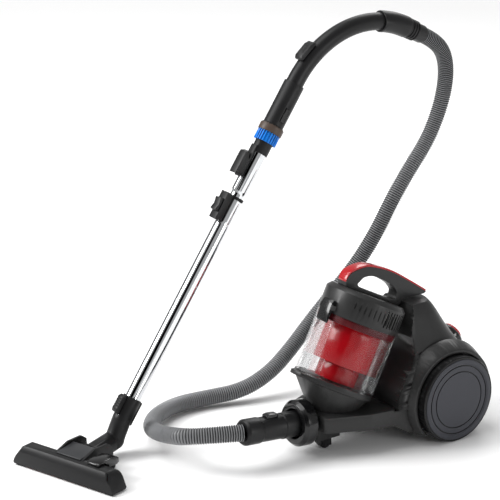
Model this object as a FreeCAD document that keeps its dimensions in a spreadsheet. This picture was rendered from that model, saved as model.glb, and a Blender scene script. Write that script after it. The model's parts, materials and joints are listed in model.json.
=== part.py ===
"""Canister vacuum cleaner: cyclone canister on wheels, hose, telescopic wand and floor head.

Row frame: +Z up, floor at Z = 0, the canister drives towards -Y and its left side faces +X.
The origin is on the floor under the middle of the whole machine without its hose.
"""
import FreeCAD, Part
import Sketcher
import math
import os

V = FreeCAD.Vector
X_AXIS, Y_AXIS, Z_AXIS = V(1, 0, 0), V(0, 1, 0), V(0, 0, 1)

doc = FreeCAD.newDocument("CanisterVacuum")
sheet = doc.addObject("Spreadsheet::Sheet", "Sheet")

# Driving dimensions: alias, value in mm or degrees, meaning.
DIMENSIONS = [
    ("canister_x", 80.8, "canister centre plane in the row frame"),
    ("axle_y", 310.5, "rear axle in the row frame"),
    ("running_gap", 0.06, "radial clearance of a shaft in its hole"),
    ("fit_gap", 0.4, "clearance between parts that slide or turn past each other"),
    ("wheel_radius", 90, "rear wheel"),
    ("wheel_face", 138, "outer face of a rear wheel from the centre plane"),
    ("wheel_width", 24, "rear wheel"),
    ("tyre_thick", 5, "rubber tread on a rear wheel"),
    ("axle_radius", 6, "rear axle stub"),
    ("arch_wall", 84, "inner face of a wheel arch from the centre plane"),
    ("arch_rim", 119, "outer rim of a wheel arch from the centre plane"),
    ("arch_clear", 3.5, "wheel arch inside past the wheel"),
    ("arch_thick", 8, "wheel arch ring"),
    ("floor_gap", 28, "belly above the floor"),
    ("tub_top", 84, "top edge of the lower chassis"),
    ("tub_wall", 3, "lower chassis"),
    ("tub_front", 278, "front wall of the chassis ahead of the axle"),
    ("tub_back", 104, "back wall of the chassis behind the axle"),
    ("tub_nose_half", 56, "half width of the chassis at its nose"),
    ("tub_waist_half", 104, "half width of the chassis at the wheels"),
    ("shell_wall", 3, "rear shell"),
    ("shell_top", 277, "rear shell"),
    ("bin_radius", 83, "dust cup outside"),
    ("cup_wall", 2.5, "dust cup"),
    ("bin_tilt", 26.4, "bin axis leans back from the vertical"),
    ("bin_ahead", 220, "foot of the bin axis ahead of the axle"),
    ("bin_foot", 126, "foot of the bin axis above the floor"),
    ("flap_thick", 11, "bin bottom flap"),
    ("flap_nose", 107, "pointed front of the flap from the bin axis"),
    ("cup_top", 140, "upper rim of the dust cup along the bin axis"),
    ("lid_top", 198, "top of the lid along the bin axis"),
    ("lid_wall", 3, "bin lid"),
    ("seat_gap", 2, "bin to the rear shell's seat"),
    ("cyclone_top_radius", 40, "cyclone cone"),
    ("cyclone_tip_radius", 17, "cyclone cone"),
    ("shroud_radius", 59, "perforated shroud"),
    ("handle_width", 26, "carry handle"),
    ("trim_thick", 4, "strip on the carry handle"),
    ("socket_reach", 7, "hose socket ahead of the tub"),
    ("socket_height", 65.7, "hose collar axis at its back face"),
    ("socket_tilt", 5, "hose collar axis points up"),
    ("collar_radius", 47, "hose collar"),
    ("collar_length", 32, "hose collar"),
    ("cuff_radius", 26.5, "hose cuff"),
    ("cuff_length", 155, "hose cuff from the collar's back face"),
    ("spigot_radius", 21, "hose cuff spigot in the socket"),
    ("hose_radius", 17, "hose outside"),
    ("hose_wall", 2, "hose"),
    ("motor_radius", 52, "motor housing"),
    ("motor_height", 150, "motor axis above the floor"),
    ("motor_front", 58, "front of the motor housing ahead of the axle"),
    ("motor_back", 38, "back of the motor housing behind the axle"),
    ("reel_radius", 74, "cord reel flange"),
    ("reel_hub", 36, "cord reel hub"),
    ("reel_low", 36, "underside of the cord reel"),
    ("reel_high", 68, "top of the cord reel"),
    ("knob_behind", 87, "power dial behind the axle"),
    ("knob_height", 168, "power dial base above the floor"),
    ("knob_tilt", 53, "power dial axis leans back from the vertical"),
    ("pod_radius", 30, "power dial pod"),
    ("pod_height", 12, "power dial pod above the shell"),
    ("dial_radius", 21.5, "power dial"),
    ("caster_ahead", 250, "front caster swivel ahead of the axle"),
    ("caster_radius", 12, "front caster wheel"),
    ("head_x", -189.3, "floor head pivot from the canister's centre plane"),
    ("head_ahead", 671.8, "floor head pivot ahead of the axle"),
    ("head_yaw", 17.5, "floor head turned about the vertical"),
    ("head_half", 129, "half length of the floor head"),
    ("head_front", 86, "front of the floor head ahead of its pivot"),
    ("head_rear", 43, "back of the floor head's ends ahead of its pivot"),
    ("head_height", 43, "floor head"),
    ("head_low", 6, "underside of the floor head's shell"),
    ("head_wall", 2.5, "floor head"),
    ("pivot_height", 25, "floor head pivot"),
    ("drum_radius", 18.5, "pivot drum of the elbow"),
    ("drum_half", 29, "half length of the pivot drum"),
    ("swivel_reach", 57, "neck swivel joint from the pivot"),
    ("swivel_tilt", 6, "neck swivel axis points up"),
    ("neck_bend", 14, "bend of the neck past the swivel joint"),
    ("elbow_radius", 20.5, "elbow pipe"),
    ("neck_wall", 3.5, "neck pipe beyond the wand tube"),
    ("neck_top", 100, "upper end of the neck pipe along the wand"),
    ("wand_lean", 55.9, "wand above the horizontal"),
    ("tube_radius", 16, "outer wand tube"),
    ("tube_wall", 1, "wand tubes"),
    ("tube_foot", 58, "lower end of the outer tube along the wand"),
    ("tube_swage", 488, "where the outer tube narrows"),
    ("joint_ring", 545, "upper end of the outer tube"),
    ("inner_radius", 13.6, "inner wand tube"),
    ("inner_foot", 115, "lower end of the inner tube, wand pushed in"),
    ("inner_flare", 565, "where the inner tube widens again"),
    ("inner_head", 690, "upper end of the inner tube"),
    ("spigot_foot", 650, "lower end of the grip's spigot"),
    ("sleeve_foot", 697, "lower end of the brush sleeve's ring"),
    ("sleeve_head", 808, "upper end of the brush sleeve"),
    ("sleeve_wall", 3.2, "brush sleeve beyond the grip tube"),
    ("grip_wall", 2.3, "grip tube beyond the wand tube"),
    ("grip_bore", 14.5, "grip tube"),
    ("grip_start", 814, "where the grip starts to bend"),
    ("grip_bend", 226, "centre line radius of the grip's bend"),
    ("grip_turn", 67, "turn of the grip tube"),
    ("end_turn", 14.4, "further turn of the grip's end cuff"),
    ("end_radius", 22.5, "grip's end cuff"),
    ("ring_length", 50, "swivel ring at the hose's upper end"),
]
for row, (alias, value, meaning) in enumerate(DIMENSIONS, start=1):
    sheet.set(f"A{row}", meaning)
    sheet.set(f"B{row}", str(value))
    sheet.setAlias(f"B{row}", alias)
doc.recompute()


class Size:
    """A number together with the spreadsheet expression that gives it."""

    def __init__(self, number, text):
        self.number = number
        self.text = text

    def __add__(self, other):
        return Size(self.number + plain(other), f"({self.text} + {words(other)})")

    def __radd__(self, other):
        return self + other

    def __sub__(self, other):
        return Size(self.number - plain(other), f"({self.text} - {words(other)})")

    def __rsub__(self, other):
        return Size(plain(other) - self.number, f"({words(other)} - {self.text})")

    def __mul__(self, other):
        return Size(self.number * plain(other), f"({self.text} * {words(other)})")

    def __rmul__(self, other):
        return self * other

    def __truediv__(self, other):
        return Size(self.number / plain(other), f"({self.text} / {words(other)})")

    def __neg__(self):
        return Size(-self.number, f"(-1 * {self.text})")

    def __float__(self):
        return float(self.number)


def plain(size):
    """The number of a Size, or the number itself."""
    return size.number if isinstance(size, Size) else size


def words(size):
    """The expression of a Size, or the number written out."""
    return size.text if isinstance(size, Size) else repr(size)


class Dimensions:
    """The spreadsheet's aliases as Sizes: dim.wheel_radius and so on."""

    def __getattr__(self, alias):
        return Size(float(sheet.get(alias)), f"Sheet.{alias}")


dim = Dimensions()
NODES = {}


def bind(item, name, size):
    """Sets a property, and ties it to the spreadsheet where the size comes from there."""
    setattr(item, name, plain(size))
    if isinstance(size, Size):
        item.setExpression(name, size.text)


def place(item, at, turn=None):
    """Puts a primitive at a point whose coordinates may be Sizes."""
    base = V(*[plain(c) for c in at])
    item.Placement = FreeCAD.Placement(base, turn or FreeCAD.Rotation())
    for letter, coordinate in zip("xyz", at):
        if isinstance(coordinate, Size):
            item.setExpression(f"Placement.Base.{letter}", coordinate.text)
    return item


TURNS = {
    "Z": FreeCAD.Rotation(),
    "X": FreeCAD.Rotation(Y_AXIS, 90),
    "Y": FreeCAD.Rotation(X_AXIS, -90),
}


def rod(radius, height, at=(0, 0, 0), along="Z"):
    """Part::Cylinder from a point along an axis."""
    item = doc.addObject("Part::Cylinder", "Rod")
    bind(item, "Radius", radius)
    bind(item, "Height", height)
    return place(item, at, TURNS[along])


def cone(low_radius, high_radius, height, at=(0, 0, 0)):
    """Part::Cone from a point along Z."""
    item = doc.addObject("Part::Cone", "Cone")
    bind(item, "Radius1", low_radius)
    bind(item, "Radius2", high_radius)
    bind(item, "Height", height)
    return place(item, at)


def block(low, high):
    """Part::Box between two corners."""
    item = doc.addObject("Part::Box", "Block")
    for name, a, b in zip(("Length", "Width", "Height"), low, high):
        span = b - a if isinstance(b, Size) or isinstance(a, Size) else float(b - a)
        bind(item, name, span)
    return place(item, low)


def fuse(*items):
    """Part::MultiFuse of the items."""
    item = doc.addObject("Part::MultiFuse", "Fuse")
    item.Shapes = list(items)
    item.Refine = True
    return item


def cut(base, *tools):
    """Part::Cut of one base by one or more tools."""
    item = doc.addObject("Part::Cut", "Cut")
    item.Base = base
    item.Tool = tools[0] if len(tools) == 1 else fuse(*tools)
    return item


def common(first, second):
    """Part::Common of two items."""
    item = doc.addObject("Part::Common", "Common")
    item.Base = first
    item.Tool = second
    return item


def ring(outer, inner, low, high, at=(0, 0)):
    """Tube along Z between two heights."""
    body = rod(outer, high - low, (at[0], at[1], low))
    bore = rod(inner, high - low + 2, (at[0], at[1], low - 1))
    return cut(body, bore)


def outline(body, role, points, name="Outline"):
    """Closed sketch through points on one of the body's own planes."""
    sketch = body.newObject("Sketcher::SketchObject", name)
    plane = next(f for f in body.Origin.OriginFeatures if f.Role == role)
    sketch.AttachmentSupport = (plane, "")
    sketch.MapMode = "FlatFace"
    count = len(points)
    ends = [V(plain(x), plain(y), 0) for x, y in points]
    for i in range(count):
        sketch.addGeometry(Part.LineSegment(ends[i], ends[(i + 1) % count]))
    for i in range(count):
        sketch.addConstraint(Sketcher.Constraint("Coincident", i, 2, (i + 1) % count, 1))
    for i, pair in enumerate(points):
        for kind, size in zip(("DistanceX", "DistanceY"), pair):
            rule = sketch.addConstraint(Sketcher.Constraint(kind, -1, 1, i, 1, float(plain(size))))
            if isinstance(size, Size):
                sketch.setExpression(f"Constraints[{rule}]", size.text)
    return sketch


def turned(points):
    """Body turned about Z from an outline of (radius, height) points."""
    body = doc.addObject("PartDesign::Body", "Turned")
    sketch = outline(body, "XZ_Plane", points)
    feature = body.newObject("PartDesign::Revolution", "Revolution")
    feature.Profile = sketch
    feature.ReferenceAxis = (sketch, ["V_Axis"])
    feature.Angle = 360
    sketch.Visibility = False
    return body


def slab(points, low, high):
    """Body padded along Z from an outline of (x, y) points."""
    body = doc.addObject("PartDesign::Body", "Slab")
    sketch = outline(body, "XY_Plane", points)
    sketch.AttachmentOffset = FreeCAD.Placement(V(0, 0, plain(low)), FreeCAD.Rotation())
    if isinstance(low, Size):
        sketch.setExpression("AttachmentOffset.Base.z", low.text)
    pad = body.newObject("PartDesign::Pad", "Pad")
    pad.Profile = sketch
    bind(pad, "Length", high - low if isinstance(high - low, Size) else float(high - low))
    return body


def side(points, half_width):
    """Solid between X = -half_width and +half_width from an outline of (y, z) points."""
    sheet_points = [(y, z) for y, z in points]
    body = doc.addObject("PartDesign::Body", "Side")
    sketch = outline(body, "YZ_Plane", sheet_points)
    sketch.AttachmentOffset = FreeCAD.Placement(V(0, 0, -plain(half_width)), FreeCAD.Rotation())
    if isinstance(half_width, Size):
        sketch.setExpression("AttachmentOffset.Base.z", f"-1 * {half_width.text}")
    pad = body.newObject("PartDesign::Pad", "Pad")
    pad.Profile = sketch
    bind(pad, "Length", half_width * 2 if isinstance(half_width, Size) else float(half_width * 2))
    return body


def rounded(body, radius, chosen):
    """Rounds the edges of a body's tip that the rule chooses."""
    doc.recompute()
    tip = body.Tip
    names = [f"Edge{i + 1}" for i, edge in enumerate(tip.Shape.Edges) if chosen(edge)]
    fillet = body.newObject("PartDesign::Fillet", "Fillet")
    fillet.Base = (tip, names)
    bind(fillet, "Radius", radius)
    return body


def is_upright(edge):
    """True for a straight edge along Z."""
    ends = [v.Point for v in edge.Vertexes]
    return len(ends) == 2 and abs(ends[0].x - ends[1].x) < 1e-6 and abs(ends[0].y - ends[1].y) < 1e-6


def is_across(edge):
    """True for a straight edge along X."""
    ends = [v.Point for v in edge.Vertexes]
    return len(ends) == 2 and abs(ends[0].y - ends[1].y) < 1e-6 and abs(ends[0].z - ends[1].z) < 1e-6


def solid_of(shape):
    """The Part::Feature that holds a shape made with Part's own functions."""
    item = doc.addObject("Part::Feature", "Form")
    item.Shape = shape
    return item


def node(label, item, frame):
    """Finishes a sub-part: its label names its file, its placement puts it in the row frame."""
    item.Label = label
    item.Placement = frame.multiply(item.Placement)
    NODES[label] = item
    return item


def frame_at(parent, at, axis=Z_AXIS, degrees=0.0):
    """A frame inside another frame."""
    spot = FreeCAD.Placement(V(*[plain(c) for c in at]), FreeCAD.Rotation(axis, plain(degrees)))
    return parent.multiply(spot)


# sizes that follow from others
ARCH_OUTER = dim.wheel_radius + dim.arch_clear + dim.arch_thick
ARCH_INNER = dim.wheel_radius + dim.arch_clear
ARCH_FLARE = 12  # the arch is this much wider where it meets the body
GRIP_RADIUS = dim.tube_radius + dim.grip_wall
SLEEVE_RADIUS = GRIP_RADIUS + dim.sleeve_wall
NECK_RADIUS = dim.tube_radius + dim.neck_wall
SOCKET_AHEAD = dim.tub_front + dim.socket_reach

CANISTER = FreeCAD.Placement(V(plain(dim.canister_x), plain(dim.axle_y), 0), FreeCAD.Rotation())
BIN = frame_at(CANISTER, (0, -dim.bin_ahead, dim.bin_foot), X_AXIS, -dim.bin_tilt)
SOCKET = frame_at(CANISTER, (0, -SOCKET_AHEAD, dim.socket_height), X_AXIS, 90 - dim.socket_tilt)
KNOB = frame_at(CANISTER, (0, dim.knob_behind, dim.knob_height), X_AXIS, -dim.knob_tilt)
HEAD = frame_at(CANISTER, (dim.head_x, -dim.head_ahead, 0), Z_AXIS, dim.head_yaw)
SWIVEL_RISE = dim.pivot_height + 6
ELBOW = frame_at(HEAD, (0, 0, dim.pivot_height), X_AXIS, dim.swivel_tilt)
WAND_ORIGIN = HEAD.multVec(V(0, plain(dim.swivel_reach), plain(SWIVEL_RISE)))
WAND = FreeCAD.Placement(WAND_ORIGIN, FreeCAD.Rotation(X_AXIS, plain(dim.wand_lean) - 90))

LEVEL = FreeCAD.Placement()
BIN_LOCAL = CANISTER.inverse().multiply(BIN)
SOCKET_LOCAL = CANISTER.inverse().multiply(SOCKET)
KNOB_LOCAL = CANISTER.inverse().multiply(KNOB)
FAR = 400  # long enough to cut right through any piece


def posed(item, spot):
    """Moves a tool into another frame; its own placement no longer follows the sheet."""
    for letter in "xyz":
        item.setExpression(f"Placement.Base.{letter}", None)
    item.Placement = spot.multiply(item.Placement)
    return item


def slope(y, tilt_offset):
    """Height at y of the plane square to the bin axis, a distance along it (canister frame)."""
    tilt = math.radians(plain(dim.bin_tilt))
    return plain(dim.bin_foot) - (y + plain(dim.bin_ahead)) * math.tan(tilt) + tilt_offset / math.cos(tilt)


# ---------------------------------------------------------------- canister body
def arch_tools():
    """Cones that clear both wheel arches out of a shell."""
    gap = dim.fit_gap
    tools = []
    for sense in (1, -1):
        item = cone(ARCH_OUTER + ARCH_FLARE + gap, ARCH_OUTER + gap, dim.arch_rim - dim.arch_wall + gap)
        turn = FreeCAD.Rotation(Y_AXIS, 90 * sense)
        start = sense * plain(dim.arch_wall - gap)
        item.Placement = FreeCAD.Placement(V(start, 0, plain(dim.wheel_radius)), turn)
        tools.append(item)
    return tools


def tub_outline(inset):
    """Boat-shaped plan of the chassis, moved in by a wall."""
    nose = dim.tub_nose_half - inset
    waist = dim.tub_waist_half - inset
    front = -dim.tub_front + inset
    back = dim.tub_back - inset
    return [
        (-nose, front),
        (nose, front),
        (waist - 12, -dim.tub_front * 0.68),
        (waist, -dim.tub_front * 0.33),
        (waist, back - 42),
        (waist - 34, back),
        (34 - waist, back),
        (-waist, back - 42),
        (-waist, -dim.tub_front * 0.33),
        (12 - waist, -dim.tub_front * 0.68),
    ]


def lower_chassis():
    """Tub that carries everything: floor, walls, cord reel post and caster bore."""
    wall = dim.tub_wall
    tub = slab(tub_outline(0), dim.floor_gap, dim.tub_top)
    rounded(tub, 14, is_upright)
    rounded(tub, 9, lambda e: all(abs(v.Z - plain(dim.floor_gap)) < 1e-6 for v in e.Vertexes))
    nose_room = side([(-300, 20), (-300, 56), (-139, 54), (-96, dim.floor_gap - 0.2), (-96, 20)], 120)
    near, far = 2 - dim.tub_front, 64 - dim.tub_front
    pod = slab([(-27, near), (27, near), (27, far), (-27, far)], dim.floor_gap, dim.floor_gap + 34)
    rounded(pod, 8, is_upright)
    hollow = slab(tub_outline(wall), dim.floor_gap + wall, dim.tub_top + 10)
    nose_floor = side([(-300, 20), (-300, 59), (-138, 57), (-94, dim.floor_gap + 2.9), (-94, 20)], 120)
    pod_room = block((-24.5, near + wall, dim.floor_gap + wall), (24.5, far - 3, 62))
    tub = fuse(cut(tub, nose_room), pod)
    hollow = fuse(cut(hollow, nose_floor), pod_room)
    caster_bore = rod(5 + dim.running_gap, 30, (0, -dim.caster_ahead, dim.floor_gap - 5))
    neck = posed(rod(24.5 + dim.fit_gap, 60, (0, 0, -40)), SOCKET_LOCAL)
    gland_hole = rod(8, 30, (55, dim.tub_back - 20, 60), along="Y")
    shell = cut(tub, hollow, caster_bore, neck, gland_hole, *arch_tools())
    post = rod(5, dim.reel_high + 2 - dim.floor_gap - 1, (0, 16, dim.floor_gap + 1))
    boss = ring(10, 5 + dim.running_gap, dim.floor_gap + 1, dim.floor_gap + 12, (0, -dim.caster_ahead))
    node("lower_chassis", fuse(shell, post, boss), CANISTER)


def front_deck():
    """Deck over the nose, with the wedge that the bin stands on and the bore for the duct."""
    low = dim.tub_top + 0.1
    deck = slab(
        tub_outline(0)[:3]
        + [(dim.tub_waist_half - 3.0, -130.4), (3.0 - dim.tub_waist_half, -130.4)]
        + tub_outline(0)[9:],
        low,
        low + 4,
    )
    rounded(deck, 12, is_upright)
    cradle = solid_of(cradle_form(1, 0))
    hollow = solid_of(cradle_form(5, 7))
    neck = posed(rod(24.5 + dim.fit_gap, 60, (0, 0, -40)), SOCKET_LOCAL)
    duct_bore = posed(rod(21 + dim.fit_gap, 120, (0, 0, -100)), BIN_LOCAL)
    hinge_room = block((-21, -147, low + 2.3), (21, -120, low + 12))
    shell = cut(fuse(deck, cradle), neck, hollow, duct_bore, hinge_room, *arch_tools())
    node("front_deck", shell, CANISTER)


def cradle_form(below, inset):
    """Bowl between the bin's tilted floor and the deck: how far below the bin, and how far inside."""
    rim = Part.Wire(Part.makeCircle(plain(dim.bin_radius) - 4 - inset))
    rim.Placement = BIN_LOCAL.multiply(FreeCAD.Placement(V(0, 0, -below), FreeCAD.Rotation()))
    foot = Part.Wire(Part.makeCircle(plain(dim.bin_radius) * 0.68 - inset))
    foot.Placement = FreeCAD.Placement(V(0, 8 - plain(dim.bin_ahead), plain(dim.tub_top) + 4 - below), FreeCAD.Rotation())
    return Part.makeLoft([foot, rim], True)


SHELL_SECTIONS = [
    # height, share of the half width, front corner, back
    (84.1, 1.00, -130, 104),
    (112, 1.00, -130, 104),
    (145, 0.98, -114, 100),
    (180, 0.846, -79, 78),
    (217, 0.692, -71, 50),
    (250, 0.577, -62, 28),
    (277, 0.423, -50, 6),
]


def shell_form(inset):
    """Form of the rear shell: flat front with crisp corners, round back; moved in by a wall."""
    wires = []
    last = len(SHELL_SECTIONS) - 1
    for i, (height, share, corner, back) in enumerate(SHELL_SECTIONS):
        z = height - (5 if i == 0 and inset else 0) - (inset if i == last else 0)
        half = plain(dim.tub_waist_half) * share - inset
        front, rear = corner + inset, back - inset
        waist = front + 0.35 * (rear - front)
        side_points = [V(half, front, z), V(half, (front + waist) / 2, z)]
        for step in range(7):
            turn = math.radians(15 * step)
            x = half * math.cos(turn) ** 0.8 if step < 6 else 0
            side_points.append(V(x, waist + (rear - waist) * math.sin(turn) ** 0.8, z))
        other = [V(-p.x, p.y, p.z) for p in reversed(side_points[:-1])]
        flank = Part.BSplineCurve()
        flank.interpolate(side_points + other)
        edge = Part.LineSegment(V(-half, front, z), V(half, front, z))
        wires.append(Part.Wire([edge.toShape(), flank.toShape()]))
    return Part.makeLoft(wires, True, False)


def rear_shell():
    """Tall rear cover over motor and cord reel, with a hollow seat for the bin."""
    wall = plain(dim.shell_wall)
    seat = plain(dim.bin_radius + dim.seat_gap)
    outer = shell_form(0)
    inner = shell_form(wall)
    for form, radius in ((outer, seat), (inner, seat + wall)):
        tool = Part.makeCylinder(radius, FAR, V(0, 0, -50))
        tool.Placement = BIN_LOCAL
        if form is outer:
            outer = form.cut(tool)
        else:
            inner = form.cut(tool)
    cover = solid_of(outer.cut(inner))
    pod_hole = posed(rod(dim.pod_radius + 0.1, 60, (0, 0, -30)), KNOB_LOCAL)
    button_hole = posed(rod(9 + dim.fit_gap, 40, (-42, -14, -26)), KNOB_LOCAL)
    grille_hole = block((-45, 80, 97), (45, 130, 127))
    node("rear_shell", cut(cover, pod_hole, button_hole, grille_hole, *arch_tools()), CANISTER)


def wheel_arch(label, sense):
    """Dished arch around one rear wheel, open towards the floor."""
    arch = turned(
        [
            (dim.axle_radius + dim.running_gap, dim.arch_wall),
            (ARCH_OUTER + ARCH_FLARE, dim.arch_wall),
            (ARCH_OUTER, dim.arch_rim - 2),
            (ARCH_OUTER - 2, dim.arch_rim),
            (ARCH_INNER, dim.arch_rim),
            (ARCH_INNER, dim.arch_wall + 3),
            (dim.axle_radius + dim.running_gap, dim.arch_wall + 3),
        ]
    )
    arch.Placement = FreeCAD.Placement(V(0, 0, plain(dim.wheel_radius)), FreeCAD.Rotation(Y_AXIS, 90 * sense))
    below = block((-200, -150, -60), (200, 150, dim.floor_gap - 4))
    node(label, cut(arch, below), CANISTER)


def wheel_axles():
    """Two flanged axle stubs, one in each arch."""
    stubs = []
    for sense in (1, -1):
        stub = turned(
            [
                (0, dim.arch_wall - 3),
                (14, dim.arch_wall - 3),
                (14, dim.arch_wall),
                (dim.axle_radius, dim.arch_wall),
                (dim.axle_radius, dim.wheel_face - 5),
                (0, dim.wheel_face - 5),
            ]
        )
        stub.Placement = FreeCAD.Placement(V(0, 0, plain(dim.wheel_radius)), FreeCAD.Rotation(Y_AXIS, 90 * sense))
        stubs.append(stub)
    node("wheel_axles", fuse(*stubs), CANISTER)


def rear_wheel(side_name, sense):
    """Dished wheel with two fine grooves, and its rubber tread."""
    bore = dim.axle_radius + dim.running_gap
    rim = dim.wheel_radius - dim.tyre_thick
    face = dim.wheel_face
    back = dim.wheel_face - dim.wheel_width
    disc = turned(
        [
            (0, face - 3.6),
            (bore, face - 3.6),
            (bore, back - 2),
            (14, back - 2),
            (14, back + 5),
            (rim - 5, back + 5),
            (rim - 5, back),
            (rim, back),
            (rim, face - 1.5),
            (rim - 2, face),
            (rim - 8, face),
            (rim - 9.5, face - 1.6),
            (rim * 0.85, face - 1.6),
            (rim * 0.85 - 0.6, face - 2.4),
            (rim * 0.85 - 1.2, face - 1.6),
            (rim * 0.7, face - 1.6),
            (rim * 0.7 - 0.6, face - 2.4),
            (rim * 0.7 - 1.2, face - 1.6),
            (0, face - 1.6),
        ]
    )
    tread = turned(
        [
            (rim, back),
            (dim.wheel_radius - 1.5, back),
            (dim.wheel_radius, back + 1.5),
            (dim.wheel_radius, face - 4),
            (dim.wheel_radius - 1.5, face - 2),
            (rim, face - 2),
        ]
    )
    hub = frame_at(CANISTER, (0, 0, dim.wheel_radius), Y_AXIS, 90 * sense)
    node(f"wheel_{side_name}", disc, hub)
    node(f"tyre_{side_name}", tread, hub)


def caster():
    """Front caster: swivel fork with a stem, and one wide wheel that trails behind it."""
    spot = frame_at(CANISTER, (0, -dim.caster_ahead, 0))
    crown_low = dim.caster_radius * 2 + dim.fit_gap
    disc = rod(22, dim.floor_gap - dim.fit_gap - crown_low, (0, 0, crown_low))
    stem = rod(5, 12, (0, 0, dim.floor_gap - 1))
    legs = [block((sense * 13 - 1.7, 0, 7), (sense * 13 + 1.7, 20, crown_low + 1)) for sense in (1, -1)]
    pin = rod(2, 26, (-13, 10, dim.caster_radius), along="X")
    node("caster_fork", fuse(disc, stem, pin, *legs), spot)
    wheel = turned(
        [
            (2 + dim.running_gap, -10.5),
            (dim.caster_radius - 1.5, -10.5),
            (dim.caster_radius, -9),
            (dim.caster_radius, 9),
            (dim.caster_radius - 1.5, 10.5),
            (2 + dim.running_gap, 10.5),
        ]
    )
    node("caster_wheel", wheel, frame_at(spot, (0, 10, dim.caster_radius), Y_AXIS, 90))


def hose_socket():
    """Big collar on the nose that the hose cuff plugs into."""
    bore = dim.spigot_radius + dim.running_gap
    collar = turned(
        [
            (bore, -20),
            (24.5, -20),
            (24.5, 0),
            (dim.collar_radius - 3, 0),
            (dim.collar_radius, 3),
            (dim.collar_radius, dim.collar_length - 7),
            (dim.collar_radius - 6, dim.collar_length),
            (dim.cuff_radius + 4.5, dim.collar_length),
            (dim.cuff_radius + 3, dim.collar_length - 3),
            (dim.cuff_radius + 3, 10),
            (bore, 10),
        ]
    )
    node("hose_socket", collar, SOCKET)


def inlet_duct():
    """Mitred duct from the hose socket up to the port under the bin."""
    tilt = math.radians(plain(dim.bin_tilt))
    rise = math.radians(plain(dim.socket_tilt))
    start = SOCKET_LOCAL.multVec(V(0, 0, -20.3))
    end = BIN_LOCAL.multVec(V(0, 0, -plain(dim.seat_gap)))
    along = V(0, math.cos(rise), -math.sin(rise))
    up = V(0, math.sin(tilt), math.cos(tilt))
    gap = end - start
    turn = along.y * up.z - along.z * up.y
    reach = (gap.y * up.z - gap.z * up.y) / turn
    corner = start + along * reach
    height = (end - corner).Length
    outer = Part.makeCylinder(21, reach, start, along).fuse(Part.makeSphere(21, corner))
    outer = outer.fuse(Part.makeCylinder(21, height, corner, up))
    inner = Part.makeCylinder(18.5, reach + 1, start - along, along).fuse(Part.makeSphere(18.5, corner))
    inner = inner.fuse(Part.makeCylinder(18.5, height + 1, corner, up))
    node("inlet_duct", solid_of(outer.cut(inner).removeSplitter()), CANISTER)


def motor():
    """Suction motor: can, rotor with its shaft, and the impeller behind the inlet."""
    length = dim.motor_front + dim.motor_back
    can = dim.motor_radius
    frame = frame_at(CANISTER, (0, -dim.motor_front, dim.motor_height), X_AXIS, -90)
    shaft = 4
    housing = turned(
        [
            (16, 0),
            (can, 0),
            (can, length),
            (shaft + dim.running_gap, length),
            (shaft + dim.running_gap, length - 3),
            (can - 3, length - 3),
            (can - 3, 3),
            (16, 3),
        ]
    )
    node("motor_housing", housing, frame)
    rotor = turned(
        [
            (0, 7),
            (shaft, 7),
            (shaft, 42),
            (25, 42),
            (25, length - 18),
            (shaft, length - 18),
            (shaft, length - 1),
            (0, length - 1),
        ]
    )
    node("motor_rotor", rotor, frame)
    impeller = turned(
        [(shaft, 9), (14, 9), (18, 14), (can - 8, 19), (can - 8, 22), (shaft, 22)]
    )
    node("impeller", impeller, frame)
    pad = rod(38, 11, (0, 0, -13))
    node("pre_motor_filter", pad, frame)


def cord_reel():
    """Spool under the motor, turning on the chassis post."""
    bore = 5 + dim.running_gap
    spool = turned(
        [
            (bore, dim.reel_low),
            (dim.reel_radius, dim.reel_low),
            (dim.reel_radius, dim.reel_low + 2),
            (dim.reel_hub, dim.reel_low + 2),
            (dim.reel_hub, dim.reel_high - 2),
            (dim.reel_radius, dim.reel_high - 2),
            (dim.reel_radius, dim.reel_high),
            (bore, dim.reel_high),
        ]
    )
    node("cord_reel", spool, frame_at(CANISTER, (0, 16, 0)))


def exhaust():
    """Filter block and slatted grille at the back, and the gland for the mains cord."""
    node("exhaust_filter", block((-40, 66, 98), (40, 84, 126)), CANISTER)
    plate = block((-44.6, 88, 97.4), (44.6, 91, 126.6))
    slots = [block((-40, 80, 100.5 + 5 * i), (40, 100, 103.5 + 5 * i)) for i in range(5)]
    node("exhaust_grille", cut(plate, *slots), CANISTER)
    gland = turned([(4, -6), (7.9, -6), (7.9, 0.2), (11, 0.2), (11, 2.2), (4, 2.2)])
    node("cord_gland", gland, frame_at(CANISTER, (55, dim.tub_back, 60), X_AXIS, -90))


def controls():
    """Pod and ribbed power dial on the back slope, and the cord rewind button beside them."""
    recess = dim.dial_radius + 2
    pod = turned(
        [
            (4 + dim.running_gap, -8),
            (dim.pod_radius, -8),
            (dim.pod_radius, dim.pod_height - 4),
            (dim.pod_radius - 4, dim.pod_height),
            (recess, dim.pod_height),
            (recess, -3),
            (4 + dim.running_gap, -3),
        ]
    )
    node("dial_pod", pod, KNOB)
    knob = turned(
        [(0, -6), (4, -6), (4, -2.6), (dim.dial_radius, -2.6), (dim.dial_radius, 15), (dim.dial_radius - 3, 18), (0, 18)]
    )
    grips = [
        posed(rod(1.6, 30, (dim.dial_radius + 0.6, 0, 1)), FreeCAD.Placement(V(), FreeCAD.Rotation(Z_AXIS, 15 * i)))
        for i in range(24)
    ]
    node("dial", cut(knob, *grips), KNOB)
    node("rewind_button", rounded_button(9, -10, 7), frame_at(KNOB, (-42, -14, -5)))


def rounded_button(radius, low, high):
    """Round push button with a chamfered face."""
    return turned([(0, low), (radius, low), (radius, high - 1.5), (radius - 1.5, high), (0, high)])


# ---------------------------------------------------------------- dust bin
def dust_cup():
    """Clear cup around the cyclone."""
    low = dim.flap_thick + 0.4
    cup = ring(dim.bin_radius, dim.bin_radius - dim.cup_wall, low, dim.cup_top)
    node("dust_cup", cup, BIN)


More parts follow.
